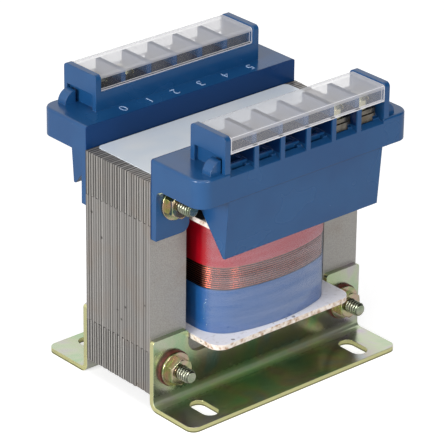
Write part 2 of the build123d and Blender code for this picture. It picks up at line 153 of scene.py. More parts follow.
def addStudio():
    scene = bpy.context.scene
    scene.view_settings.view_transform = "Standard"
    world = bpy.data.worlds.new("tent")
    scene.world = world
    world.use_nodes = True
    tree = world.node_tree
    background = tree.nodes["Background"]
    background.inputs["Color"].default_value = toLinear(studio["tent"])
    path = addNode(tree, "LightPath").outputs
    toCard = Vector(studio["cardAt"]).normalized()
    near = addNode(tree, "VectorMath", {0: addNode(tree, "TexCoord"), 1: toCard},
                   operation="DOT_PRODUCT")
    start, end = studio["cardEdge"]
    aside = addNode(tree, "MapRange", {"Value": near.outputs["Value"], "From Min": start,
                                       "From Max": end, "To Min": 1.0, "To Max": studio["cardDark"]})
    mirrored = addNode(tree, "Math", {0: path["Is Glossy Ray"], 1: aside}, operation="MULTIPLY")
    straight = addNode(tree, "Math", {0: path["Is Camera Ray"], 1: path["Is Transmission Ray"]},
                       operation="MAXIMUM")
    shown = addNode(tree, "Math", {0: mirrored, 1: straight}, operation="MAXIMUM")
    lit = addNode(tree, "Math", {0: path["Is Diffuse Ray"], 1: studio["tentLight"]},
                  operation="MULTIPLY")
    tree.links.new(addNode(tree, "Math", {0: lit, 1: shown}, operation="ADD").outputs[0],
                   background.inputs["Strength"])
    for name, lamp in studio["lamps"].items():
        data = bpy.data.lights.new(name, "AREA")
        data.shape = "DISK"
        data.size = lamp["size"] / 1000
        data.energy = lamp["watts"]
        light = bpy.data.objects.new(name, data)
        around, height = math.radians(lamp["round"]), math.radians(lamp["height"])
        toward = Vector((-math.sin(around) * math.cos(height), -math.cos(around) * math.cos(height),
                         math.sin(height)))
        light.location = (Vector(camera["target"]) + toward * lamp["away"]) / 1000
        light.rotation_euler = toward.to_track_quat("Z", "Y").to_euler()
        scene.collection.objects.link(light)


# Pale paper on the table: it renders white to the camera, and metal sees it a little darker
paper = {"size": 3000, "colour": "#DADADA", "roughness": 0.9, "glow": 0.62, "mirroredGlow": 0.12}


def addFloor():
    half = paper["size"] / 1000
    mesh = bpy.data.meshes.new("floor")
    corners = [(-half, -half, 0), (half, -half, 0), (half, half, 0), (-half, half, 0)]
    mesh.from_pydata(corners, [], [(0, 1, 2, 3)])
    mat, tree, shader = newMaterial("pale paper", paper)
    path = addNode(tree, "LightPath").outputs
    straight = addNode(tree, "Math", {0: path["Is Camera Ray"], 1: path["Is Transmission Ray"]},
                       operation="MAXIMUM")
    direct = addNode(tree, "Math", {0: straight, 1: paper["glow"]}, operation="MULTIPLY")
    mirrored = addNode(tree, "Math", {0: path["Is Glossy Ray"], 1: paper["mirroredGlow"]},
                       operation="MULTIPLY")
    strength = addNode(tree, "Math", {0: direct, 1: mirrored}, operation="ADD")
    glow = addNode(tree, "Emission", {"Strength": strength})
    both = addNode(tree, "AddShader", {0: shader, 1: glow})
    tree.links.new(both.outputs[0], tree.nodes["Material Output"].inputs["Surface"])
    mesh.materials.append(mat)
    floor = bpy.data.objects.new("floor", mesh)
    bpy.context.scene.collection.objects.link(floor)


addStudio()
addFloor()
print("camera and studio ready")


# Injection-moulded ABS: a polished mould leaves a clear gloss, a slow waviness where the melt flowed,
# and handling leaves dust specks
blockLook = {"colour": "#184A7D", "roughness": 0.24, "ior": 1.5, "flow": 14.0,
             "flowStops": [(0.3, "#174676"), (0.7, "#1B4E7E")], "gloss": (0.17, 0.3),
             "dust": 0.8, "dustStops": [(0.79, 0.0), (0.85, 0.5)], "dustColour": "#6F92BC",
             "wave": 5.0, "waveDepth": 0.02, "edge": 0.25}
# Painted shade on the blocks: inside the cells, in the step under the slab and on the faces against the
# core
shadeLook = {"cell": "#0C2A56", "cellFloor": 75.5, "cellBack": 1.5, "cellFront": 0.5, "sillLap": 0.5,
             "seam": "#0F2D55", "seamAt": 66.6, "seamWidth": 0.3, "seamReach": 0.6,
             "back": "#123A6C", "backNear": 0.3, "backShine": 0.15, "shine": 0.5}


def mouldedAbs():
    mat, tree, shader = newMaterial("blue moulded ABS", blockLook)
    place = addNode(tree, "TexCoord").outputs["Object"]
    flow = addNode(tree, "TexNoise", {"Vector": place, "Scale": 1000 / blockLook["flow"],
                                      "Detail": 2.0})
    colour = addNode(tree, "ValToRGB", {"Fac": flow}, stops=blockLook["flowStops"])
    speck = addNode(tree, "TexNoise", {"Vector": place, "Scale": 1000 / blockLook["dust"],
                                       "Detail": 1.0})
    dusty = addNode(tree, "ValToRGB", {"Fac": speck}, stops=blockLook["dustStops"])
    mixed = addNode(tree, "MixRGB", {0: dusty, 1: colour, 2: toLinear(blockLook["dustColour"])})
    # painted shade inside the cells, where little light reaches the floors and lower walls
    low, high = boxOf("rear_cover")
    axes = addNode(tree, "SeparateXYZ", {0: place}).outputs
    depth = addNode(tree, "Math", {0: axes["Y"]}, operation="ABSOLUTE")
    back, front = low[1] + shadeLook["cellBack"], high[1] - shadeLook["cellFront"]
    inDepth = addNode(tree, "Math", {0: depth, 1: (back + front) / 2000, 2: (front - back) / 2000},
                      operation="COMPARE")
    floor, roof = shadeLook["cellFloor"], low[2] + shadeLook["sillLap"]
    inHeight = addNode(tree, "Math", {0: axes["Z"], 1: (roof + floor) / 2000, 2: (roof - floor) / 2000},
                       operation="COMPARE")
    inWidth = addNode(tree, "Math", {0: axes["X"], 1: 0.0, 2: high[0] / 1000}, operation="COMPARE")
    inCell = addNode(tree, "Math", {0: inDepth, 1: inHeight}, operation="MULTIPLY")
    inCell = addNode(tree, "Math", {0: inCell, 1: inWidth}, operation="MULTIPLY")
    shaded = addNode(tree, "MixRGB", {0: inCell, 1: mixed, 2: toLinear(shadeLook["cell"])})
    # painted shade in the step between slab and hood
    seam = addNode(tree, "Math", {0: axes["Z"], 1: shadeLook["seamAt"] / 1000,
                                  2: shadeLook["seamWidth"] / 2000}, operation="COMPARE")
    onFront = addNode(tree, "Math", {0: depth, 1: (high[1] - shadeLook["seamReach"]) / 1000},
                      operation="GREATER_THAN")
    seam = addNode(tree, "Math", {0: seam, 1: onFront}, operation="MULTIPLY")
    shaded = addNode(tree, "MixRGB", {0: seam, 1: shaded, 2: toLinear(shadeLook["seam"])})
    # painted shade on the faces beside the core, which the blocks shade from each other; their gloss is
    # turned down too
    core = boxOf("e_laminations")[1][1]
    isBack = addNode(tree, "Math", {0: depth, 1: core / 1000, 2: shadeLook["backNear"] / 1000},
                     operation="COMPARE")
    backed = addNode(tree, "MixRGB", {0: isBack, 1: shaded, 2: toLinear(shadeLook["back"])})
    tree.links.new(backed.outputs[0], shader.inputs["Base Color"])
    shine = addNode(tree, "Mix", {"Factor": isBack, "A": shadeLook["shine"],
                                  "B": shadeLook["backShine"]})
    tree.links.new(shine.outputs[0], shader.inputs["Specular IOR Level"])
    sleek, dull = blockLook["gloss"]
    gloss = addNode(tree, "MapRange", {"Value": flow.outputs[0], "From Min": noiseLow,
                                       "From Max": noiseHigh, "To Min": sleek, "To Max": dull})
    tree.links.new(gloss.outputs[0], shader.inputs["Roughness"])
    wave = addNode(tree, "TexNoise", {"Vector": place, "Scale": 1000 / blockLook["wave"],
                                      "Detail": 1.0})
    soft = addNode(tree, "Bevel", {"Radius": blockLook["edge"] / 1000}, samples=6)
    bump = addNode(tree, "Bump", {"Height": wave, "Distance": blockLook["waveDepth"] / 1000,
                                  "Normal": soft})
    tree.links.new(bump.outputs[0], shader.inputs["Normal"])
    return mat


paint(mouldedAbs(), "front_terminal_block", "rear_terminal_block")


# Yellow passivated zinc on folded steel: a thin chromate film over a soft metal shine splits the light,
# so olive, straw and pink drift over the broad faces, and the film is pale on the sheared edges
zincLook = {"colour": "#A9B794", "roughness": 0.24, "metallic": 1.0, "cloud": 11.0, "edge": 0.2,
            "stops": [(0.32, "#88BA8A"), (0.42, "#9CC090"), (0.5, "#B0C08A"), (0.58, "#B8B090"),
                      (0.7, "#98B2A8")],
            "ends": [(0.35, "#B4CCA8"), (0.5, "#C6CDB4"), (0.65, "#C8BCC8")],
            "endFrom": 20.0, "endTo": 34.0, "grain": 0.8, "grainDepth": 0.003, "gloss": (0.19, 0.3)}
# Painted highlight along the bend, and the sheared and torn edges. The bend's sizes are a point's
# distance from the middle plane plus its height, which grows in both directions from the bend
foldLook = {"bent": "#C8D2B4", "bendAt": 17.4, "bendTo": 20.2, "pale": 0.45, "dull": 0.3,
            "footFrom": 16.6, "sheared": "#D8D6A0", "torn": "#77754A", "tornTo": 0.5, "tornFrom": 0.3}


def passivatedZinc():
    mat, tree, shader = newMaterial("yellow passivated zinc", zincLook)
    place = addNode(tree, "TexCoord").outputs["Object"]
    axes = addNode(tree, "SeparateXYZ", {0: place}).outputs
    cloud = addNode(tree, "TexNoise", {"Vector": place, "Scale": 1000 / zincLook["cloud"],
                                       "Detail": 3.0, "Distortion": 0.6})
    middle = addNode(tree, "ValToRGB", {"Fac": cloud}, stops=zincLook["stops"])
    ends = addNode(tree, "ValToRGB", {"Fac": cloud}, stops=zincLook["ends"])
    # paler towards both ends: partly the film's own change of tint, partly painted light where the slab
    # no longer shades the foot
    reach = addNode(tree, "Math", {0: axes["X"]}, operation="ABSOLUTE")
    outward = addNode(tree, "MapRange", {"Value": reach.outputs[0],
                                         "From Min": zincLook["endFrom"] / 1000,
                                         "From Max": zincLook["endTo"] / 1000})
    film = addNode(tree, "MixRGB", {0: outward, 1: middle, 2: ends})
    # painted highlight on the bend, standing in for light on its rounded face; the roughness is raised
    # there too
    depth = addNode(tree, "Math", {0: axes["Y"]}, operation="ABSOLUTE")
    fromBend = addNode(tree, "Math", {0: depth, 1: axes["Z"]}, operation="ADD")
    bent = addNode(tree, "MapRange", {"Value": fromBend, "From Min": foldLook["bendAt"] / 1000,
                                      "From Max": foldLook["bendTo"] / 1000,
                                      "To Min": foldLook["pale"], "To Max": 0.0},
                   interpolation_type="SMOOTHSTEP")
    film = addNode(tree, "MixRGB", {0: bent, 1: film, 2: toLinear(foldLook["bent"])})
    # the sheet lies flat in the foot and stands up in the web, so other normals there are sheared edges
    normal = addNode(tree, "SeparateXYZ", {0: addNode(tree, "NewGeometry").outputs["Normal"]}).outputs
    inFoot = addNode(tree, "Math", {0: depth, 1: foldLook["footFrom"] / 1000},
                     operation="GREATER_THAN")
    upright = addNode(tree, "Math", {0: normal["Z"], 1: 0.0, 2: 0.5}, operation="COMPARE")
    footCut = addNode(tree, "Math", {0: inFoot, 1: upright}, operation="MULTIPLY")
    sideways = addNode(tree, "Math", {0: normal["X"]}, operation="ABSOLUTE")
    endCut = addNode(tree, "Math", {0: sideways, 1: 0.5}, operation="GREATER_THAN")
    cut = addNode(tree, "Math", {0: footCut, 1: endCut}, operation="MAXIMUM")
    colour = addNode(tree, "MixRGB", {0: cut, 1: film, 2: toLinear(foldLook["sheared"])})
    # the lower part of a sheared foot edge is torn, rough and dull
    torn = addNode(tree, "MapRange", {"Value": axes["Z"], "From Min": foldLook["tornTo"] / 1000,
                                      "From Max": foldLook["tornFrom"] / 1000})
    torn = addNode(tree, "Math", {0: torn, 1: cut}, operation="MULTIPLY")
    colour = addNode(tree, "MixRGB", {0: torn, 1: colour, 2: toLinear(foldLook["torn"])})
    tree.links.new(colour.outputs[0], shader.inputs["Base Color"])
    grain = addNode(tree, "TexNoise", {"Vector": place, "Scale": 1000 / zincLook["grain"],
                                       "Detail": 3.0})
    least, most = zincLook["gloss"]
    gloss = addNode(tree, "MapRange", {"Value": grain.outputs[0], "To Min": least, "To Max": most})
    dull = addNode(tree, "Math", {0: bent, 1: foldLook["dull"], 2: gloss}, operation="MULTIPLY_ADD")
    tree.links.new(dull.outputs[0], shader.inputs["Roughness"])
    soft = addNode(tree, "Bevel", {"Radius": zincLook["edge"] / 1000}, samples=6)
    bump = addNode(tree, "Bump", {"Height": grain, "Distance": zincLook["grainDepth"] / 1000,
                                  "Normal": soft})
    tree.links.new(bump.outputs[0], shader.inputs["Normal"])
    return mat


paint(passivatedZinc(), "front_bracket", "rear_bracket")


# Turned and pressed steel fasteners, yellow zinc: small parts tumble in the bath, so the tint changes
# from face to face, and the rubbed corners are bright
nutLook = {"colour": "#B4AE8C", "roughness": 0.15, "metallic": 1.0, "patch": 3.5, "edge": 0.3,
           "stops": [(0.3, "#94A47A"), (0.44, "#BEBC90"), (0.56, "#CCB0A0"), (0.7, "#AAB290")]}
boltLook = {"colour": "#A9AE98", "roughness": 0.24, "metallic": 1.0, "patch": 4.0, "edge": 0.04,
            "stops": [(0.3, "#98A68A"), (0.5, "#B2B6A2"), (0.7, "#A8A68C")], "root": "#2C2A22"}
screwLook = {"colour": "#B0B098", "roughness": 0.2, "metallic": 1.0, "patch": 3.0, "edge": 0.2,
             "stops": [(0.3, "#8E987C"), (0.5, "#B8B89C"), (0.7, "#BCAE92")]}
# The punched strip and washers in the cells have dulled to grey and brown
tagLook = {"colour": "#7A766E", "roughness": 0.2, "metallic": 1.0, "patch": 3.0, "edge": 0.15,
           "stops": [(0.3, "#5E5A52"), (0.5, "#847F76"), (0.7, "#756B5C")]}
# Tumbling rubs all of them brighter in some spots and duller in others
rub = {"spacing": 2 / 3, "brighter": 0.06, "duller": 0.12}


def platedSteel(name, look):
    mat, tree, shader = newMaterial(name, look)
    place = addNode(tree, "TexCoord").outputs["Object"]
    patch = addNode(tree, "TexNoise", {"Vector": place, "Scale": 1000 / look["patch"], "Detail": 2.0})
    tint = addNode(tree, "ValToRGB", {"Fac": patch}, stops=look["stops"])
    tree.links.new(tint.outputs[0], shader.inputs["Base Color"])
    spot = addNode(tree, "TexNoise", {"Vector": place, "Scale": 1000 / rub["spacing"],
                                      "Detail": 3.0})
    gloss = addNode(tree, "MapRange", {"Value": spot.outputs[0],
                                       "To Min": look["roughness"] - rub["brighter"],
                                       "To Max": look["roughness"] + rub["duller"]})
    tree.links.new(gloss.outputs[0], shader.inputs["Roughness"])
    soft = addNode(tree, "Bevel", {"Radius": look["edge"] / 1000}, samples=6)
    tree.links.new(soft.outputs[0], shader.inputs["Normal"])
    return mat


# Rolled thread: painted shade darkens the roots of the thread, so that the crests stand out
def rolledThread():
    mat = platedSteel("bright zinc on rolled thread", boltLook)
    tree = mat.node_tree
    colour = tree.nodes["Principled BSDF"].inputs["Base Color"]
    groove = addNode(tree, "Attribute", attribute_name="groove").outputs["Fac"]
    tint = colour.links[0].from_socket
    rootShade = addNode(tree, "MixRGB", {0: groove, 1: tint, 2: toLinear(boltLook["root"])})
    tree.links.new(rootShade.outputs[0], colour)
    return mat


paint(platedSteel("yellow zinc on pressed steel", nutLook), "hex_nuts", "flat_washers")
paint(platedSteel("zinc on turned screws", screwLook), "terminal_screws")
paint(platedSteel("dull zinc on punched strip", tagLook), "contact_plates", "clamp_washers")


# Clear injection-moulded polystyrene: the thin top hazes over at a low angle, the skirts stay clear,
# and the cut rims gather light to bright white lines
coverLook = {"colour": "#ECEBEF", "roughness": 0.1, "ior": 1.55, "top": 0.37, "inner": 0.03,
             "outer": 0.13, "rim": 0.8, "rimWidth": 0.3, "wall": 1.0, "lap": 0.1}


def clearStyrene():
    low, high = boxOf("front_cover", "rear_cover")
    mat, tree, shader = newMaterial("clear moulded polystyrene", coverLook)
    axes = addNode(tree, "SeparateXYZ", {0: addNode(tree, "TexCoord").outputs["Object"]}).outputs
    across = addNode(tree, "Math", {0: axes["X"]}, operation="ABSOLUTE")
    depth = addNode(tree, "Math", {0: axes["Y"]}, operation="ABSOLUTE")
    topLow = high[2] - coverLook["wall"] - coverLook["lap"]
    isTop = addNode(tree, "Math", {0: axes["Z"], 1: topLow / 1000}, operation="GREATER_THAN")
    isOuter = addNode(tree, "Math", {0: depth, 1: (high[1] - 2 * coverLook["wall"]) / 1000},
                      operation="GREATER_THAN")
    skirt = addNode(tree, "Mix", {"Factor": isOuter, "A": coverLook["inner"], "B": coverLook["outer"]})
    alpha = addNode(tree, "Mix", {"Factor": isTop, "A": skirt, "B": coverLook["top"]})
    width = coverLook["rimWidth"] / 1000
    lowRim = addNode(tree, "Math", {0: axes["Z"], 1: low[2] / 1000 + width}, operation="LESS_THAN")
    highRim = addNode(tree, "Math", {0: axes["Z"], 1: high[2] / 1000 - width}, operation="GREATER_THAN")
    frontRim = addNode(tree, "Math", {0: depth, 1: high[1] / 1000 - width}, operation="GREATER_THAN")
    topRim = addNode(tree, "Math", {0: highRim, 1: frontRim}, operation="MULTIPLY")
    endRim = addNode(tree, "Math", {0: across, 1: high[0] / 1000 - width}, operation="GREATER_THAN")
    normal = addNode(tree, "SeparateXYZ", {0: addNode(tree, "NewGeometry").outputs["Normal"]}).outputs
    facing = addNode(tree, "Math", {0: normal["X"], 1: 0.0, 2: 0.5}, operation="COMPARE")
    endRim = addNode(tree, "Math", {0: endRim, 1: facing}, operation="MULTIPLY")
    rims = addNode(tree, "Math", {0: lowRim, 1: topRim}, operation="MAXIMUM")
    rims = addNode(tree, "Math", {0: rims, 1: endRim}, operation="MAXIMUM")
    shown = addNode(tree, "Mix", {"Factor": rims, "A": alpha, "B": coverLook["rim"]})
    tree.links.new(shown.outputs[0], shader.inputs["Alpha"])
    return mat


paint(clearStyrene(), "front_cover", "rear_cover")


# Polyester film tape: extruded pigmented film, smooth, with fine creases round the coil
redLook = {"colour": "#A60016", "roughness": 0.28, "ior": 1.6, "crease": 0.8, "creaseDepth": 0.05,
           "creaseLength": 20.0, "shade": 0.12}
blueLook = {**redLook, "colour": "#1E5896"}


def filmTape(name, look):
    mat, tree, shader = newMaterial(name, look)
    place = addNode(tree, "TexCoord").outputs["Object"]
    along = 1000 / look["creaseLength"]
    place = addNode(tree, "Mapping", {"Vector": place, "Scale": (along, along, 1000 / look["crease"])})
    crease = addNode(tree, "TexNoise", {"Vector": place, "Scale": 1.0, "Detail": 2.0})
    value = addNode(tree, "MapRange", {"Value": crease.outputs[0], "To Min": 1 - look["shade"],
                                       "To Max": 1 + look["shade"]})
    tint = addNode(tree, "HueSaturation", {"Value": value, "Color": toLinear(look["colour"])})
    tree.links.new(tint.outputs[0], shader.inputs["Base Color"])
    bump = addNode(tree, "Bump", {"Height": crease, "Distance": look["creaseDepth"] / 1000,
                                  "Strength": 0.5})
    tree.links.new(bump.outputs[0], shader.inputs["Normal"])
    return mat


paint(filmTape("red polyester tape", redLook), "red_tape")
paint(filmTape("blue polyester tape", blueLook), "blue_tape")

# Clear wound polyester film: every layer mirrors a little, so together they are a weak mirror over
# the tapes. It is slack towards its loose end on the right, and shines more there, and it is drawn
# tight round the left corner
filmLook = {"colour": "#F2F5FF", "roughness": 0.07, "metallic": 1.0, "alpha": (0.07, 0.13),
            "slack": 0.04, "slackAt": (4.0, 20.0), "tight": 0.15, "tightAt": (-21.3, -20.4),
            "ripple": 2.2, "rippleDepth": 0.06, "rippleLength": 25.0}


def woundFilm():
    mat, tree, shader = newMaterial("clear wound film", filmLook)
    place = addNode(tree, "TexCoord").outputs["Object"]
    along = 1000 / filmLook["rippleLength"]
    drawn = addNode(tree, "Mapping", {"Vector": place,
                                      "Scale": (along, along, 1000 / filmLook["ripple"])})
    ripple = addNode(tree, "TexNoise", {"Vector": drawn, "Scale": 1.0, "Detail": 2.0})
    least, most = filmLook["alpha"]
    layers = addNode(tree, "MapRange", {"Value": ripple.outputs[0], "From Min": noiseLow,
                                        "From Max": noiseHigh, "To Min": least, "To Max": most})
    across = addNode(tree, "SeparateXYZ", {0: place}).outputs["X"]
    start, end = filmLook["slackAt"]
    slack = addNode(tree, "MapRange", {"Value": across, "From Min": start / 1000,
                                       "From Max": end / 1000, "To Max": filmLook["slack"]})
    start, end = filmLook["tightAt"]
    tight = addNode(tree, "MapRange", {"Value": across, "From Min": start / 1000,
                                       "From Max": end / 1000, "To Min": filmLook["tight"]})
    shine = addNode(tree, "Math", {0: layers, 1: slack}, operation="ADD")
    shine = addNode(tree, "Math", {0: shine, 1: tight}, operation="MULTIPLY")
    tree.links.new(shine.outputs[0], shader.inputs["Alpha"])
    bump = addNode(tree, "Bump", {"Height": ripple, "Distance": filmLook["rippleDepth"] / 1000,
                                  "Strength": 0.6})
    tree.links.new(bump.outputs[0], shader.inputs["Normal"])
    return mat


paint(woundFilm(), "clear_film")

# Pressboard: pressed paper pulp with a clean white face; the sawn edge is creamy, with brown flecks
boardLook = {"colour": "#EFEDF0", "roughness": 0.8, "fleck": 1.3, "fleckDepth": 0.05,
             "edge": [(0.34, "#B4947A"), (0.44, "#DCCBBC"), (0.6, "#EFE6DE")],
             "face": [(0.28, "#E6E2E4"), (0.42, "#F8F6FA")],
             "speck": 2.2, "speckStops": [(0.78, 0.0), (0.8, 0.7)], "burnt": "#4A3A30",
             "coreShade": "#16130F", "shadeFull": 19.0, "shadeFrom": 21.0, "skin": 0.1}


def pressboard():
    mat, tree, shader = newMaterial("pressboard", boardLook)
    place = addNode(tree, "TexCoord").outputs["Object"]
    normal = addNode(tree, "SeparateXYZ", {0: addNode(tree, "NewGeometry").outputs["Normal"]}).outputs
    flat = addNode(tree, "Math", {0: normal["Z"]}, operation="ABSOLUTE")
    fleck = addNode(tree, "TexNoise", {"Vector": place, "Scale": 1000 / boardLook["fleck"],
                                       "Detail": 3.0})
    edge = addNode(tree, "ValToRGB", {"Fac": fleck}, stops=boardLook["edge"])
    face = addNode(tree, "ValToRGB", {"Fac": fleck}, stops=boardLook["face"])
    board = addNode(tree, "MixRGB", {0: flat, 1: edge, 2: face})
    speck = addNode(tree, "TexNoise", {"Vector": place, "Scale": 1000 / boardLook["speck"],
                                       "Detail": 0.0})
    burnt = addNode(tree, "ValToRGB", {"Fac": speck}, stops=boardLook["speckStops"])
    mixed = addNode(tree, "MixRGB", {0: burnt, 1: board, 2: toLinear(boardLook["burnt"])})
    # painted shade on the upper board close to the core, nearly black, where the block and core shade it
    axes = addNode(tree, "SeparateXYZ", {0: place}).outputs
    top = boxOf("upper_flange")[1][2] - boardLook["skin"]
    upper = addNode(tree, "Math", {0: axes["Z"], 1: top / 1000}, operation="GREATER_THAN")
    depth = addNode(tree, "Math", {0: axes["Y"]}, operation="ABSOLUTE")
    shadeMask = addNode(tree, "MapRange", {"Value": depth.outputs[0],
                                     "From Min": boardLook["shadeFrom"] / 1000,
                                     "From Max": boardLook["shadeFull"] / 1000})
    shadeMask = addNode(tree, "Math", {0: shadeMask, 1: upper}, operation="MULTIPLY")
    mixed = addNode(tree, "MixRGB", {0: shadeMask, 1: mixed, 2: toLinear(boardLook["coreShade"])})
    tree.links.new(mixed.outputs[0], shader.inputs["Base Color"])
    bump = addNode(tree, "Bump", {"Height": fleck, "Distance": boardLook["fleckDepth"] / 1000,
                                  "Strength": 0.6})
    tree.links.new(bump.outputs[0], shader.inputs["Normal"])
    return mat


paint(pressboard(), "lower_flange", "upper_flange", "former_tube")

# Vulcanised fibre, punched: dyed pulp, a dull maroon with a slight sheen and paler worn grain
fibreLook = {"colour": "#522020", "roughness": 0.4, "grain": 0.6, "grainDepth": 0.03,
             "stops": [(0.35, "#401716"), (0.65, "#642A26")]}


def vulcanisedFibre():
    mat, tree, shader = newMaterial("vulcanised fibre", fibreLook)
    place = addNode(tree, "TexCoord").outputs["Object"]
    grain = addNode(tree, "TexNoise", {"Vector": place, "Scale": 1000 / fibreLook["grain"],
                                       "Detail": 3.0})
    tint = addNode(tree, "ValToRGB", {"Fac": grain}, stops=fibreLook["stops"])
    tree.links.new(tint.outputs[0], shader.inputs["Base Color"])
    bump = addNode(tree, "Bump", {"Height": grain, "Distance": fibreLook["grainDepth"] / 1000,
                                  "Strength": 0.6})
    tree.links.new(bump.outputs[0], shader.inputs["Normal"])
    return mat


paint(vulcanisedFibre(), "fibre_washers")

# Kraft paper: brown unbleached fibres, matt; the fibres are drawn at 1 mm, coarser than real, so
# that they show
paperLook = {"colour": "#C3AE80", "roughness": 0.85, "fibre": 1.0,
             "stops": [(0.35, "#AE9768"), (0.65, "#CDBB90")]}


def kraftPaper():
    mat, tree, shader = newMaterial("kraft paper", paperLook)
    place = addNode(tree, "TexCoord").outputs["Object"]
    fibre = addNode(tree, "TexNoise", {"Vector": place, "Scale": 1000 / paperLook["fibre"],
                                       "Detail": 4.0})
    tint = addNode(tree, "ValToRGB", {"Fac": fibre}, stops=paperLook["stops"])
    tree.links.new(tint.outputs[0], shader.inputs["Base Color"])
    return mat


paint(kraftPaper(), "winding_insulation", "bolt_sleeves")

# Silvered polyester label, laminated: a smooth satin face that takes a blue cast from the blocks
labelLook = {"colour": "#E3E8F0", "roughness": 0.22, "ior": 1.6, "wave": 9.0, "waveDepth": 0.02,
             "stops": [(0.3, "#E4EDF6"), (0.7, "#EFF4F8")]}


def labelFilm():
    mat, tree, shader = newMaterial("silvered label film", labelLook)
    place = addNode(tree, "TexCoord").outputs["Object"]
    wave = addNode(tree, "TexNoise", {"Vector": place, "Scale": 1000 / labelLook["wave"],
                                      "Detail": 1.0})
    tint = addNode(tree, "ValToRGB", {"Fac": wave}, stops=labelLook["stops"])
    tree.links.new(tint.outputs[0], shader.inputs["Base Color"])
    bump = addNode(tree, "Bump", {"Height": wave, "Distance": labelLook["waveDepth"] / 1000,
                                  "Strength": 0.5})
    tree.links.new(bump.outputs[0], shader.inputs["Normal"])
    return mat


paint(labelFilm(), "rating_label")

# Varnished glass sleeving: a woven tube, yellowish, where slanting bands of yarn stand out
sleeveLook = {"colour": "#D9CF9A", "roughness": 0.55, "band": 3.628, "bandDepth": 0.1,
              "stops": [(0.2, "#B9AC74"), (0.8, "#E4DCB0")]}


def glassSleeving():
    mat, tree, shader = newMaterial("varnished glass sleeving", sleeveLook)
    place = addNode(tree, "TexCoord").outputs["Object"]
    perBand = math.tau / (10 * math.sqrt(3))  # a wave texture's units from one slanting band to the next
    bands = addNode(tree, "TexWave", {"Vector": place, "Scale": 1000 * perBand / sleeveLook["band"],
                                      "Distortion": 1.0}, bands_direction="DIAGONAL")
    tint = addNode(tree, "ValToRGB", {"Fac": bands}, stops=sleeveLook["stops"])
    tree.links.new(tint.outputs[0], shader.inputs["Base Color"])
    bump = addNode(tree, "Bump", {"Height": bands, "Distance": sleeveLook["bandDepth"] / 1000,
                                  "Strength": 0.5})
    tree.links.new(bump.outputs[0], shader.inputs["Normal"])
    return mat


paint(glassSleeving(), "primary_leads", "secondary_leads")
print("finishes on the packed pieces")


# Lamination stack: 0.5 mm sheets, two and two end for end, each pair a little shy of its neighbours
stackLow, stackHigh = boxOf("e_laminations", "i_laminations")
boltLow, boltHigh = boxOf("core_bolts")
bolt = {"flats": 7.0, "diameter": 4.0, "length": 40.0, "head": 2.8}
bolt["x"] = boltHigh[0] - bolt["flats"] / 2
bolt["lowZ"] = boltLow[2] + bolt["flats"] / math.sqrt(3)
bolt["highZ"] = boltHigh[2] - bolt["flats"] / math.sqrt(3)
stack = {"sheet": 0.5, "pair": 2, "gap": 0.03, "joint": 0.16, "shy": 0.16, "hole": 5.2,
         "holeSides": 16, "seed": 11, "contrast": (0.07, 0.34), "jitter": 0.06}
stack["width"] = stackHigh[0] - stackLow[0]
stack["unit"] = stack["width"] / 6  # a scrapless lamination is six units wide
stack["depth"] = stackHigh[1] - stackLow[1]

# Punched silicon steel: the sheared edges are half bright, half torn, so each sheet shows a light and a
# dark line, with a little oil and rust; the outer faces keep the grey rolled scale
steelLook = {"colour": "#8F8C88", "roughness": 0.46, "metallic": 0.5, "grain": 0.35,
             "stops": [(0.0, "#2E2C2A"), (0.3, "#5E5B58"), (0.5, "#8E8B88"), (0.7, "#A4A19D"),
                       (1.0, "#D2CFCA")],
             "scale": [(0.3, "#969390"), (0.7, "#ADAAA4")],
             "limb": {"contrast": 0.66, "middle": 0.49}, "yoke": {"contrast": 1.0, "middle": 0.41},
             "stain": 9.0, "stainStops": [(0.52, 0.0), (0.75, 0.25)], "rust": "#8A7460",
             "pit": 0.55, "pitSpread": 6.0, "pitDark": 0.8, "pitColour": "#2A2420"}


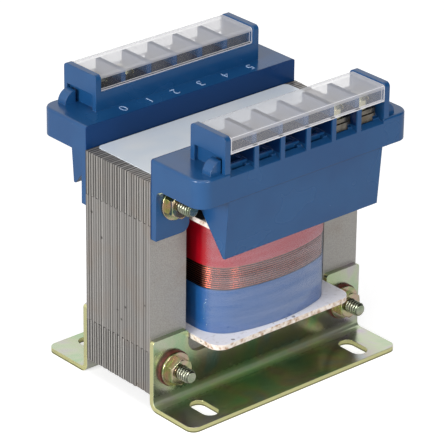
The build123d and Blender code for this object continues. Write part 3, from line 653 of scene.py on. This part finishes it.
def siliconSteel():
    mat, tree, shader = newMaterial("punched silicon steel", steelLook)
    place = addNode(tree, "TexCoord").outputs["Object"]
    tone = addNode(tree, "Attribute", attribute_name="tone").outputs["Fac"]
    # below and above the joints the pieces are stacked less evenly than the long limbs between
    height = addNode(tree, "SeparateXYZ", {0: place}).outputs["Z"]
    upper, lower = stackHigh[2] - stack["unit"], stackLow[2] + stack["unit"]
    above = addNode(tree, "Math", {0: height, 1: upper / 1000}, operation="GREATER_THAN")
    below = addNode(tree, "Math", {0: height, 1: lower / 1000}, operation="LESS_THAN")
    joined = addNode(tree, "Math", {0: above, 1: below}, operation="MAXIMUM")
    limb, yoke = steelLook["limb"], steelLook["yoke"]
    contrast = addNode(tree, "Mix", {"Factor": joined, "A": limb["contrast"], "B": yoke["contrast"]})
    swing = addNode(tree, "Math", {0: tone, 1: 0.5}, operation="SUBTRACT")
    swing = addNode(tree, "Math", {0: swing, 1: contrast}, operation="MULTIPLY")
    middle = addNode(tree, "Mix", {"Factor": joined, "A": limb["middle"], "B": yoke["middle"]})
    level = addNode(tree, "Math", {0: swing, 1: middle}, operation="ADD")
    edge = addNode(tree, "ValToRGB", {"Fac": level}, stops=steelLook["stops"])
    grain = addNode(tree, "TexNoise", {"Vector": place, "Scale": 1000 / steelLook["grain"],
                                       "Detail": 2.0})
    scale = addNode(tree, "ValToRGB", {"Fac": grain}, stops=steelLook["scale"])
    normal = addNode(tree, "SeparateXYZ", {0: addNode(tree, "NewGeometry").outputs["Normal"]}).outputs
    broad = addNode(tree, "Math", {0: normal["Y"]}, operation="ABSOLUTE")
    bare = addNode(tree, "MixRGB", {0: broad, 1: edge, 2: scale})
    stain = addNode(tree, "TexNoise", {"Vector": place, "Scale": 1000 / steelLook["stain"],
                                       "Detail": 4.0})
    rusty = addNode(tree, "ValToRGB", {"Fac": stain}, stops=steelLook["stainStops"])
    brown = addNode(tree, "MixRGB", {0: rusty, 1: bare, 2: toLinear(steelLook["rust"])})
    # a few rust pits, one where a random point of each 6 mm cell happens to lie on the surface
    spread = steelLook["pitSpread"]
    pit = addNode(tree, "TexVoronoi", {"Vector": place, "Scale": 1000 / spread})
    radius = steelLook["pit"] / spread
    dark = addNode(tree, "MapRange", {"Value": pit.outputs["Distance"], "From Min": radius,
                                      "From Max": 0.5 * radius, "To Max": steelLook["pitDark"]})
    pitted = addNode(tree, "MixRGB", {0: dark, 1: brown, 2: toLinear(steelLook["pitColour"])})
    tree.links.new(pitted.outputs[0], shader.inputs["Base Color"])
    return mat


def sheetOutlines(yokeLow, shyE, shyI):
    low, high, unit, joint = stackLow[2], stackHigh[2], stack["unit"], stack["joint"]
    half, middle, window = stack["width"] / 2, stack["unit"], 2 * stack["unit"]
    side = 1 if yokeLow else -1
    yoke, far = (low, high) if yokeLow else (high, low)
    root, end = yoke + side * unit, far - side * (unit + joint)
    outer = yoke + side * shyE
    edge = half - shyE
    eShape = [(-edge, outer), (edge, outer), (edge, end), (window, end), (window, root),
              (middle, root), (middle, end), (-middle, end), (-middle, root), (-window, root),
              (-window, end), (-edge, end)]
    edge = half - shyI
    near, rim = end + side * joint, far - side * shyI
    iShape = [(-edge, near), (edge, near), (edge, rim), (-edge, rim)]
    return eShape, iShape


def sheetMesh(outline, holes, thick):
    curve = bpy.data.curves.new("sheet", "CURVE")
    curve.dimensions = "2D"
    curve.fill_mode = "BOTH"
    curve.extrude = thick / 2
    loops = [outline]
    radius = stack["hole"] / 2
    for x, z in holes:
        turn = [i * math.tau / stack["holeSides"] for i in range(stack["holeSides"])]
        loops.append([(x + radius * math.cos(a), z + radius * math.sin(a)) for a in turn])
    for loop in loops:
        line = curve.splines.new("POLY")
        line.points.add(len(loop) - 1)
        for point, (x, z) in zip(line.points, loop):
            point.co = (x, z, 0, 1)
        line.use_cyclic_u = True
    holder = bpy.data.objects.new("sheet", curve)
    mesh = bpy.data.meshes.new_from_object(holder)
    points = [tuple(v.co) for v in mesh.vertices]
    faces = [tuple(p.vertices) for p in mesh.polygons]
    bpy.data.objects.remove(holder)
    bpy.data.curves.remove(curve)
    bpy.data.meshes.remove(mesh)
    return points, faces


def laminationStack():
    dice = random.Random(stack["seed"])
    count = round(stack["depth"] / stack["sheet"])
    pitch = stack["depth"] / count
    points, faces, tones = [], [], []
    least, most = stack["contrast"]
    for i in range(count):
        yokeLow = i // stack["pair"] % 2 == 0
        outermost = i in (0, count - 1)
        if i % stack["pair"] == 0:
            shy = [0 if outermost else dice.uniform(0, stack["shy"]) for _ in range(2)]
            swing = [dice.uniform(least, most) for _ in range(2)]
        side = 1 if i % 2 else -1
        rows = (bolt["lowZ"], bolt["highZ"]) if yokeLow else (bolt["highZ"], bolt["lowZ"])
        y = stackHigh[1] - (i + 0.5) * pitch
        for shape, z, push in zip(sheetOutlines(yokeLow, *(0, 0) if outermost else shy), rows, swing):
            holes = [(-bolt["x"], z), (bolt["x"], z)]
            sheetPoints, sheetFaces = sheetMesh(shape, holes, pitch - stack["gap"])
            start = len(points)
            points += [(px, y + pz, py) for px, py, pz in sheetPoints]
            faces += [tuple(start + v for v in reversed(face)) for face in sheetFaces]
            jitter = dice.uniform(-stack["jitter"], stack["jitter"])
            tones += [0.5 + side * push + jitter] * len(sheetFaces)
    piece = addPiece("lamination_stack", points, faces, siliconSteel())
    piece.data.attributes.new("tone", "FLOAT", "FACE").data.foreach_set("value", tones)
    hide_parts("e_laminations", "i_laminations")


laminationStack()
print("lamination stack built")


# Secondary winding: a band of round turns shows between the tapes, drawn with 11 turns for the
# real 13 so that they show
coilLow, coilHigh = boxOf("clear_film")
coil = {"width": 2 * coilHigh[0], "front": coilHigh[1], "low": coilLow[2], "top": coilHigh[2],
        "bandLow": boxOf("blue_tape")[1][2], "bandTop": boxOf("red_tape")[0][2],
        "bow": 52.0, "corner": 9.5, "cover": 0.49, "build": 3.9, "turns": 11, "sag": 0.25,
        "lap": 0.05, "turnSteps": 9, "bowSteps": 20, "cornerSteps": 10}

# Enamelled copper wire, varnished brown: a painted highlight runs along each crest and painted shade
# lies in the valleys between turns
copperLook = {"colour": "#A8503A", "roughness": 0.2, "metallic": 1.0, "patch": 3.0,
              "shade": (0.75, 1.2),
              "across": [(0.22, "#1C0A06"), (0.4, "#A8503A"), (0.55, "#E09478"), (0.7, "#A8503A"),
                         (0.88, "#1C0A06")]}


def copperWire():
    mat, tree, shader = newMaterial("enamelled copper wire", copperLook)
    place = addNode(tree, "TexCoord").outputs["Object"]
    height = addNode(tree, "SeparateXYZ", {0: place}).outputs["Z"]
    pitch = (coil["bandTop"] - coil["bandLow"]) / coil["turns"] / 1000
    rise = addNode(tree, "Math", {0: height, 1: coil["bandLow"] / 1000}, operation="SUBTRACT")
    turn = addNode(tree, "Math", {0: rise, 1: pitch}, operation="DIVIDE")
    phase = addNode(tree, "Math", {0: turn}, operation="FRACT")
    # painted highlight on each crest and painted shade between the turns
    wire = addNode(tree, "ValToRGB", {"Fac": phase}, stops=copperLook["across"])
    patch = addNode(tree, "TexNoise", {"Vector": place, "Scale": 1000 / copperLook["patch"],
                                       "Detail": 2.0})
    dark, bright = copperLook["shade"]
    value = addNode(tree, "MapRange", {"Value": patch.outputs[0], "To Min": dark, "To Max": bright})
    tint = addNode(tree, "HueSaturation", {"Value": value, "Color": wire})
    tree.links.new(tint.outputs[0], shader.inputs["Base Color"])
    return mat


def coilOutline(inset):
    halfWidth, bow, corner = (v - inset for v in (coil["width"] / 2, coil["bow"], coil["corner"]))
    bowY = coil["bow"] - coil["front"]
    cornerX = halfWidth - corner
    cornerY = bowY - math.sqrt((bow - corner) ** 2 - cornerX ** 2)
    tilt = math.atan2(bowY - cornerY, cornerX)  # where corner and bow meet
    quarter = []
    for i in range(coil["cornerSteps"] + 1):
        a = tilt * i / coil["cornerSteps"]
        quarter.append((cornerX + corner * math.cos(a), cornerY - corner * math.sin(a)))
    for i in range(1, coil["bowSteps"] // 2 + 1):
        a = tilt + (math.pi / 2 - tilt) * i / (coil["bowSteps"] // 2)
        quarter.append((bow * math.cos(a), bowY - bow * math.sin(a)))
    front = quarter + [(-x, y) for x, y in reversed(quarter[:-1])]
    return front + [(-x, -y) for x, y in front]


def copperTurns(copperMat):
    pitch = (coil["bandTop"] - coil["bandLow"]) / coil["turns"]
    inner, outer = coil["cover"] + coil["build"], coil["cover"]
    profile = [(inner, coil["top"]), (inner, coil["low"]), (outer, coil["low"]),
               (outer, coil["bandLow"] - coil["lap"])]
    for i in range(coil["turns"]):
        for k in range(coil["turnSteps"]):
            a = math.pi * (k + 0.5) / coil["turnSteps"]
            profile.append((outer + coil["sag"] * (1 - math.sin(a)),
                            coil["bandLow"] + pitch * (i + 0.5 - 0.5 * math.cos(a))))
    profile += [(outer, coil["bandTop"] + coil["lap"]), (outer, coil["top"])]
    points, faces = [], []
    around = len(coilOutline(0))
    for inset, z in profile:
        points += [(x, y, z) for x, y in coilOutline(inset)]
    for i in range(len(profile)):
        here, there = i * around, (i + 1) % len(profile) * around
        for j in range(around):
            k = (j + 1) % around
            faces.append((here + j, there + j, there + k, here + k))
    turns = addPiece("copper_turns", points, faces, copperMat, smooth=True)
    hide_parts("secondary_winding")


copperMat = copperWire()
paint(copperMat, "primary_winding")
copperTurns(copperMat)
print("copper turns wound")


# Core bolts: the real 0.7 mm thread is drawn at 0.9 mm, so that its crests show
thread = {"pitch": 0.9, "depth": 0.42, "from": 32.0, "steps": 8, "around": 48, "tip": 0.5,
          "tipCut": 0.15, "bevel": 0.4, "crown": (0.86, 0.92)}


def boltMesh():
    points, faces = [], []
    radius, flats = bolt["diameter"] / 2, bolt["flats"] / 2

    def ringAt(z, radiusAt):
        start = len(points)
        for j in range(thread["around"]):
            a = j * math.tau / thread["around"]
            points.append((radiusAt(a) * math.cos(a), radiusAt(a) * math.sin(a), z))
        return start

    def hexagonAt(a):
        return flats / math.cos((a + math.pi / 6) % (math.pi / 3) - math.pi / 6)

    inner, outer = thread["crown"]
    rings = [ringAt(-bolt["head"], lambda a: inner * flats),
             ringAt(-bolt["head"], lambda a: outer * flats),
             ringAt(-bolt["head"] + thread["bevel"], hexagonAt), ringAt(0, hexagonAt),
             ringAt(0, lambda a: radius), ringAt(thread["from"], lambda a: radius)]
    rise = thread["pitch"] / thread["steps"]
    for i in range(round((bolt["length"] - thread["from"]) / rise)):
        z = thread["from"] + i * rise
        worn = min(1.0, (bolt["length"] - z) / thread["tip"])

        def threadAt(a, z=z, worn=worn):
            phase = (z / thread["pitch"] - a / math.tau) % 1
            cut = thread["depth"] * (0.5 + 0.5 * math.cos(math.tau * phase)) * worn
            return radius - cut - (1 - worn) * thread["depth"]
        rings.append(ringAt(z, threadAt))
    tipRadius = radius - thread["depth"] - thread["tipCut"]
    rings.append(ringAt(bolt["length"], lambda a: tipRadius))
    around = thread["around"]
    for here, there in zip(rings, rings[1:]):
        for j in range(around):
            k = (j + 1) % around
            faces.append((here + j, here + k, there + k, there + j))
    faces.append(tuple(reversed(range(rings[0], rings[0] + around))))
    faces.append(tuple(range(rings[-1], rings[-1] + around)))
    return points, faces


def coreBolts():
    shape, sides = boltMesh()
    points, faces = [], []
    backs = {bolt["lowZ"]: boltHigh[1] - bolt["head"], bolt["highZ"]: boltLow[1] + bolt["length"]}
    for z, back in backs.items():
        for x in (-bolt["x"], bolt["x"]):
            start = len(points)
            points += [(x + px, back - pz, z + py) for px, py, pz in shape]
            faces += [tuple(start + v for v in face) for face in sides]
    piece = addPiece("threaded_bolts", points, faces, rolledThread())
    # painted shade in the roots; the shank and the flat tip get none
    grooves = []
    for x, y, z in shape:
        depth = (bolt["diameter"] / 2 - math.hypot(x, y)) / thread["depth"]
        grooves.append(depth if thread["from"] < z < bolt["length"] else 0)
    piece.data.attributes.new("groove", "FLOAT", "POINT").data.foreach_set("value", grooves * 4)
    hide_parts("core_bolts")


coreBolts()
print("bolts threaded")


# Numerals on the ledges, counted from the wired end of each block
numeral = {"height": 4.6, "raise": 0.1, "thin": -0.09, "ledgeRise": 6.7, "fromCore": 3.5,
           "shift": 0.9, "cells": 6, "coverGap": 0.2}
# Hot-stamped foil: a thin matt pale blue skin
foilLook = {"colour": "#A9C2E2", "roughness": 0.5, "wear": 0.7,
            "stops": [(0.35, "#7F9FC8"), (0.6, "#B4CBE8")]}


def stampedFoil():
    mat, tree, shader = newMaterial("stamped foil", foilLook)
    place = addNode(tree, "TexCoord").outputs["Object"]
    wear = addNode(tree, "TexNoise", {"Vector": place, "Scale": 1000 / foilLook["wear"], "Detail": 2.0})
    tint = addNode(tree, "ValToRGB", {"Fac": wear}, stops=foilLook["stops"])
    tree.links.new(tint.outputs[0], shader.inputs["Base Color"])
    return mat


def ledgeNumerals(foilMat):
    coverLow, coverHigh = boxOf("front_cover")
    pitch = (coverHigh[0] - coverLow[0] + numeral["coverGap"]) / numeral["cells"]
    ledge = stackHigh[2] + numeral["ledgeRise"]
    for side, blockName in ((1, "rear"), (-1, "front")):
        for i in range(numeral["cells"]):
            text = bpy.data.curves.new("numeral", "FONT")
            text.body = str(i)
            text.align_x = "CENTER"
            text.align_y = "CENTER"
            text.size = numeral["height"] / 1000
            text.extrude = numeral["raise"] / 1000
            text.offset = numeral["thin"] / 1000
            holder = bpy.data.objects.new("numeral", text)
            mesh = bpy.data.meshes.new_from_object(holder)
            bpy.data.objects.remove(holder)
            bpy.data.curves.remove(text)
            mesh.transform(Matrix.Rotation(math.pi if side > 0 else 0, 4, "Z"))
            x = side * ((i - (numeral["cells"] - 1) / 2) * pitch + numeral["shift"])
            y = side * (stackHigh[1] + numeral["fromCore"])
            mesh.transform(Matrix.Translation(Vector((x, y, ledge)) / 1000))
            mesh.materials.clear()
            mesh.materials.append(foilMat)
            piece = bpy.data.objects.new(f"{blockName}_numeral_{i}", mesh)
            bpy.context.scene.collection.objects.link(piece)
            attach(piece, "root")


ledgeNumerals(stampedFoil())
print("numerals stamped")
